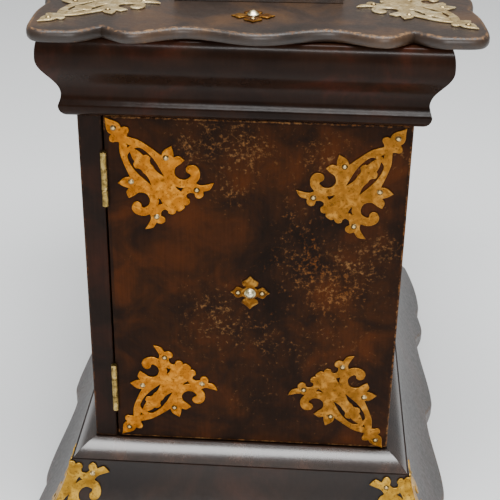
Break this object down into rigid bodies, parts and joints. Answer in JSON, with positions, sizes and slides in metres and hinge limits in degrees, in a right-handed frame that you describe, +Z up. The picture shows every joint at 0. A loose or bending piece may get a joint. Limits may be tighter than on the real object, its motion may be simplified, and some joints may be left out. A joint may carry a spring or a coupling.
{
  "type": "vanity box",
  "caption": "Dark-lacquered table cabinet with one hinged door, a moulded cornice, a flaring scalloped base and pierced brass mounts.",
  "frame": {"origin": "middle of the underside of the base", "axes": "+Z up, the door faces -Y, +X to the viewer's right"},
  "size_m": [0.302, 0.438, 0.4],
  "materials": {
    "dark_lacquer": "worn glossy dark lacquer",
    "inner_wood": "plain stained wood",
    "brass": "tarnished stamped brass"
  },
  "bodies": {
    "cabinet": {"back_panel": "dark_lacquer", "base_bead_back": "dark_lacquer", "base_bead_front": "dark_lacquer", "base_bead_left": "dark_lacquer", "base_bead_right": "dark_lacquer", "base_mount_left": "brass", "base_mount_right": "brass", "ceiling_panel": "inner_wood", "cornice_back": "dark_lacquer", "cornice_front": "dark_lacquer", "cornice_left": "dark_lacquer", "cornice_right": "dark_lacquer", "floor_panel": "inner_wood", "hinge_leaf_fixed_lower": "brass", "hinge_leaf_fixed_upper": "brass", "hinge_pin_lower": "brass", "hinge_pin_upper": "brass", "side_left": "dark_lacquer", "side_right": "dark_lacquer", "skirt_back": "dark_lacquer", "skirt_front": "dark_lacquer", "skirt_left": "dark_lacquer", "skirt_right": "dark_lacquer", "top_board": "dark_lacquer", "top_mount_back_left": "brass", "top_mount_back_right": "brass", "top_mount_front_left": "brass", "top_mount_front_right": "brass", "top_rosette": "brass", "top_rosette_boss": "brass", "top_tier": "dark_lacquer"},
    "door": {"door": "dark_lacquer", "door_mount_lower_left": "brass", "door_mount_lower_right": "brass", "door_mount_upper_left": "brass", "door_mount_upper_right": "brass", "door_rosette": "brass", "door_rosette_boss": "brass", "hinge_leaf_door_lower": "brass", "hinge_leaf_door_upper": "brass"}
  },
  "joints": [
    {"name": "door_hinge", "type": "hinge", "parent": "cabinet", "child": "door", "pos_m": [-0.085, -0.1695, 0.203], "axis": [0, 0, -1], "range_deg": [0, 165]}
  ]
}
